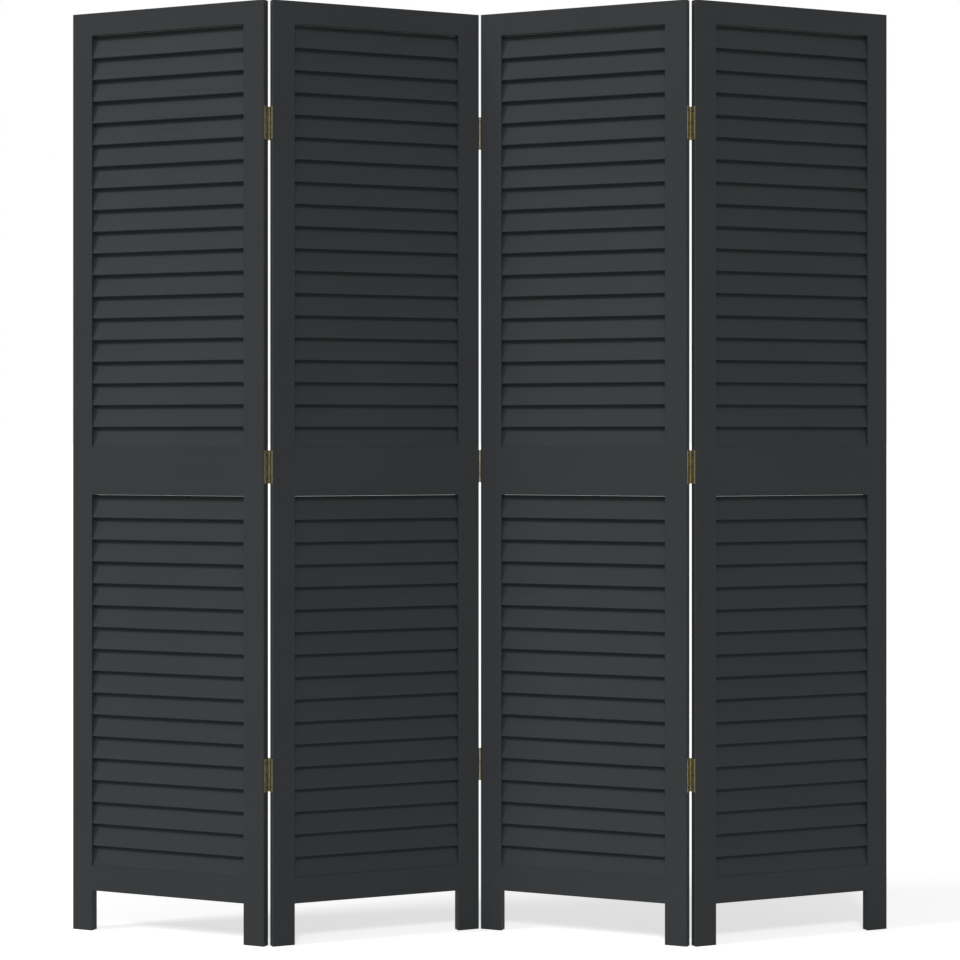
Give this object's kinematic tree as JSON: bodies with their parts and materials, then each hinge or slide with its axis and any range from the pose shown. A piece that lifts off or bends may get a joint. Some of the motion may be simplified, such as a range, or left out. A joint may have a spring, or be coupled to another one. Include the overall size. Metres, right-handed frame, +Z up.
{
  "type": "folding screen",
  "caption": "Free-standing louvred folding screen: framed panels with fixed tilted slats stand in a zigzag and fold flat on butt hinges.",
  "frame": {"origin": "on the floor, under the centre of the box around the standing screen", "axes": "+X to the right of someone who faces the front, +Y away from them, +Z up"},
  "size_m": [1.5138, 0.1666, 1.7],
  "materials": {
    "painted_wood": "dark grey satin paint over wood",
    "dowel_wood": "bare wood",
    "hinge_brass": "dull antique brass plating",
    "screw_steel": "darkened steel"
  },
  "bodies": {
    "panel_1": {"fold_1_bottom_hinge_left_leaf": "hinge_brass", "fold_1_hinge_pins": "hinge_brass", "fold_1_middle_hinge_left_leaf": "hinge_brass", "fold_1_top_hinge_left_leaf": "hinge_brass", "panel_1_bottom_rail": "painted_wood", "panel_1_dowels": "dowel_wood", "panel_1_hinge_screws": "screw_steel", "panel_1_left_stile": "painted_wood", "panel_1_lower_louvres": "painted_wood", "panel_1_middle_rail": "painted_wood", "panel_1_right_stile": "painted_wood", "panel_1_top_rail": "painted_wood", "panel_1_upper_louvres": "painted_wood"},
    "panel_2": {"fold_1_bottom_hinge_right_leaf": "hinge_brass", "fold_1_middle_hinge_right_leaf": "hinge_brass", "fold_1_top_hinge_right_leaf": "hinge_brass", "fold_2_bottom_hinge_left_leaf": "hinge_brass", "fold_2_hinge_pins": "hinge_brass", "fold_2_middle_hinge_left_leaf": "hinge_brass", "fold_2_top_hinge_left_leaf": "hinge_brass", "panel_2_bottom_rail": "painted_wood", "panel_2_dowels": "dowel_wood", "panel_2_hinge_screws": "screw_steel", "panel_2_left_stile": "painted_wood", "panel_2_lower_louvres": "painted_wood", "panel_2_middle_rail": "painted_wood", "panel_2_right_stile": "painted_wood", "panel_2_top_rail": "painted_wood", "panel_2_upper_louvres": "painted_wood"},
    "panel_3": {"fold_2_bottom_hinge_right_leaf": "hinge_brass", "fold_2_middle_hinge_right_leaf": "hinge_brass", "fold_2_top_hinge_right_leaf": "hinge_brass", "fold_3_bottom_hinge_left_leaf": "hinge_brass", "fold_3_hinge_pins": "hinge_brass", "fold_3_middle_hinge_left_leaf": "hinge_brass", "fold_3_top_hinge_left_leaf": "hinge_brass", "panel_3_bottom_rail": "painted_wood", "panel_3_dowels": "dowel_wood", "panel_3_hinge_screws": "screw_steel", "panel_3_left_stile": "painted_wood", "panel_3_lower_louvres": "painted_wood", "panel_3_middle_rail": "painted_wood", "panel_3_right_stile": "painted_wood", "panel_3_top_rail": "painted_wood", "panel_3_upper_louvres": "painted_wood"},
    "panel_4": {"fold_3_bottom_hinge_right_leaf": "hinge_brass", "fold_3_middle_hinge_right_leaf": "hinge_brass", "fold_3_top_hinge_right_leaf": "hinge_brass", "panel_4_bottom_rail": "painted_wood", "panel_4_dowels": "dowel_wood", "panel_4_hinge_screws": "screw_steel", "panel_4_left_stile": "painted_wood", "panel_4_lower_louvres": "painted_wood", "panel_4_middle_rail": "painted_wood", "panel_4_right_stile": "painted_wood", "panel_4_top_rail": "painted_wood", "panel_4_upper_louvres": "painted_wood"}
  },
  "joints": [
    {"name": "fold_1", "type": "hinge", "parent": "panel_1", "child": "panel_2", "pos_m": [-0.37938, -0.06759, 0], "axis": [0, 0, 1], "range_deg": [-44.6, 135.4]},
    {"name": "fold_2", "type": "hinge", "parent": "panel_2", "child": "panel_3", "pos_m": [0, 0.06759, 0], "axis": [0, 0, -1], "range_deg": [-44.6, 135.4]},
    {"name": "fold_3", "type": "hinge", "parent": "panel_3", "child": "panel_4", "pos_m": [0.37938, -0.06759, 0], "axis": [0, 0, 1], "range_deg": [-44.6, 135.4]}
  ]
}
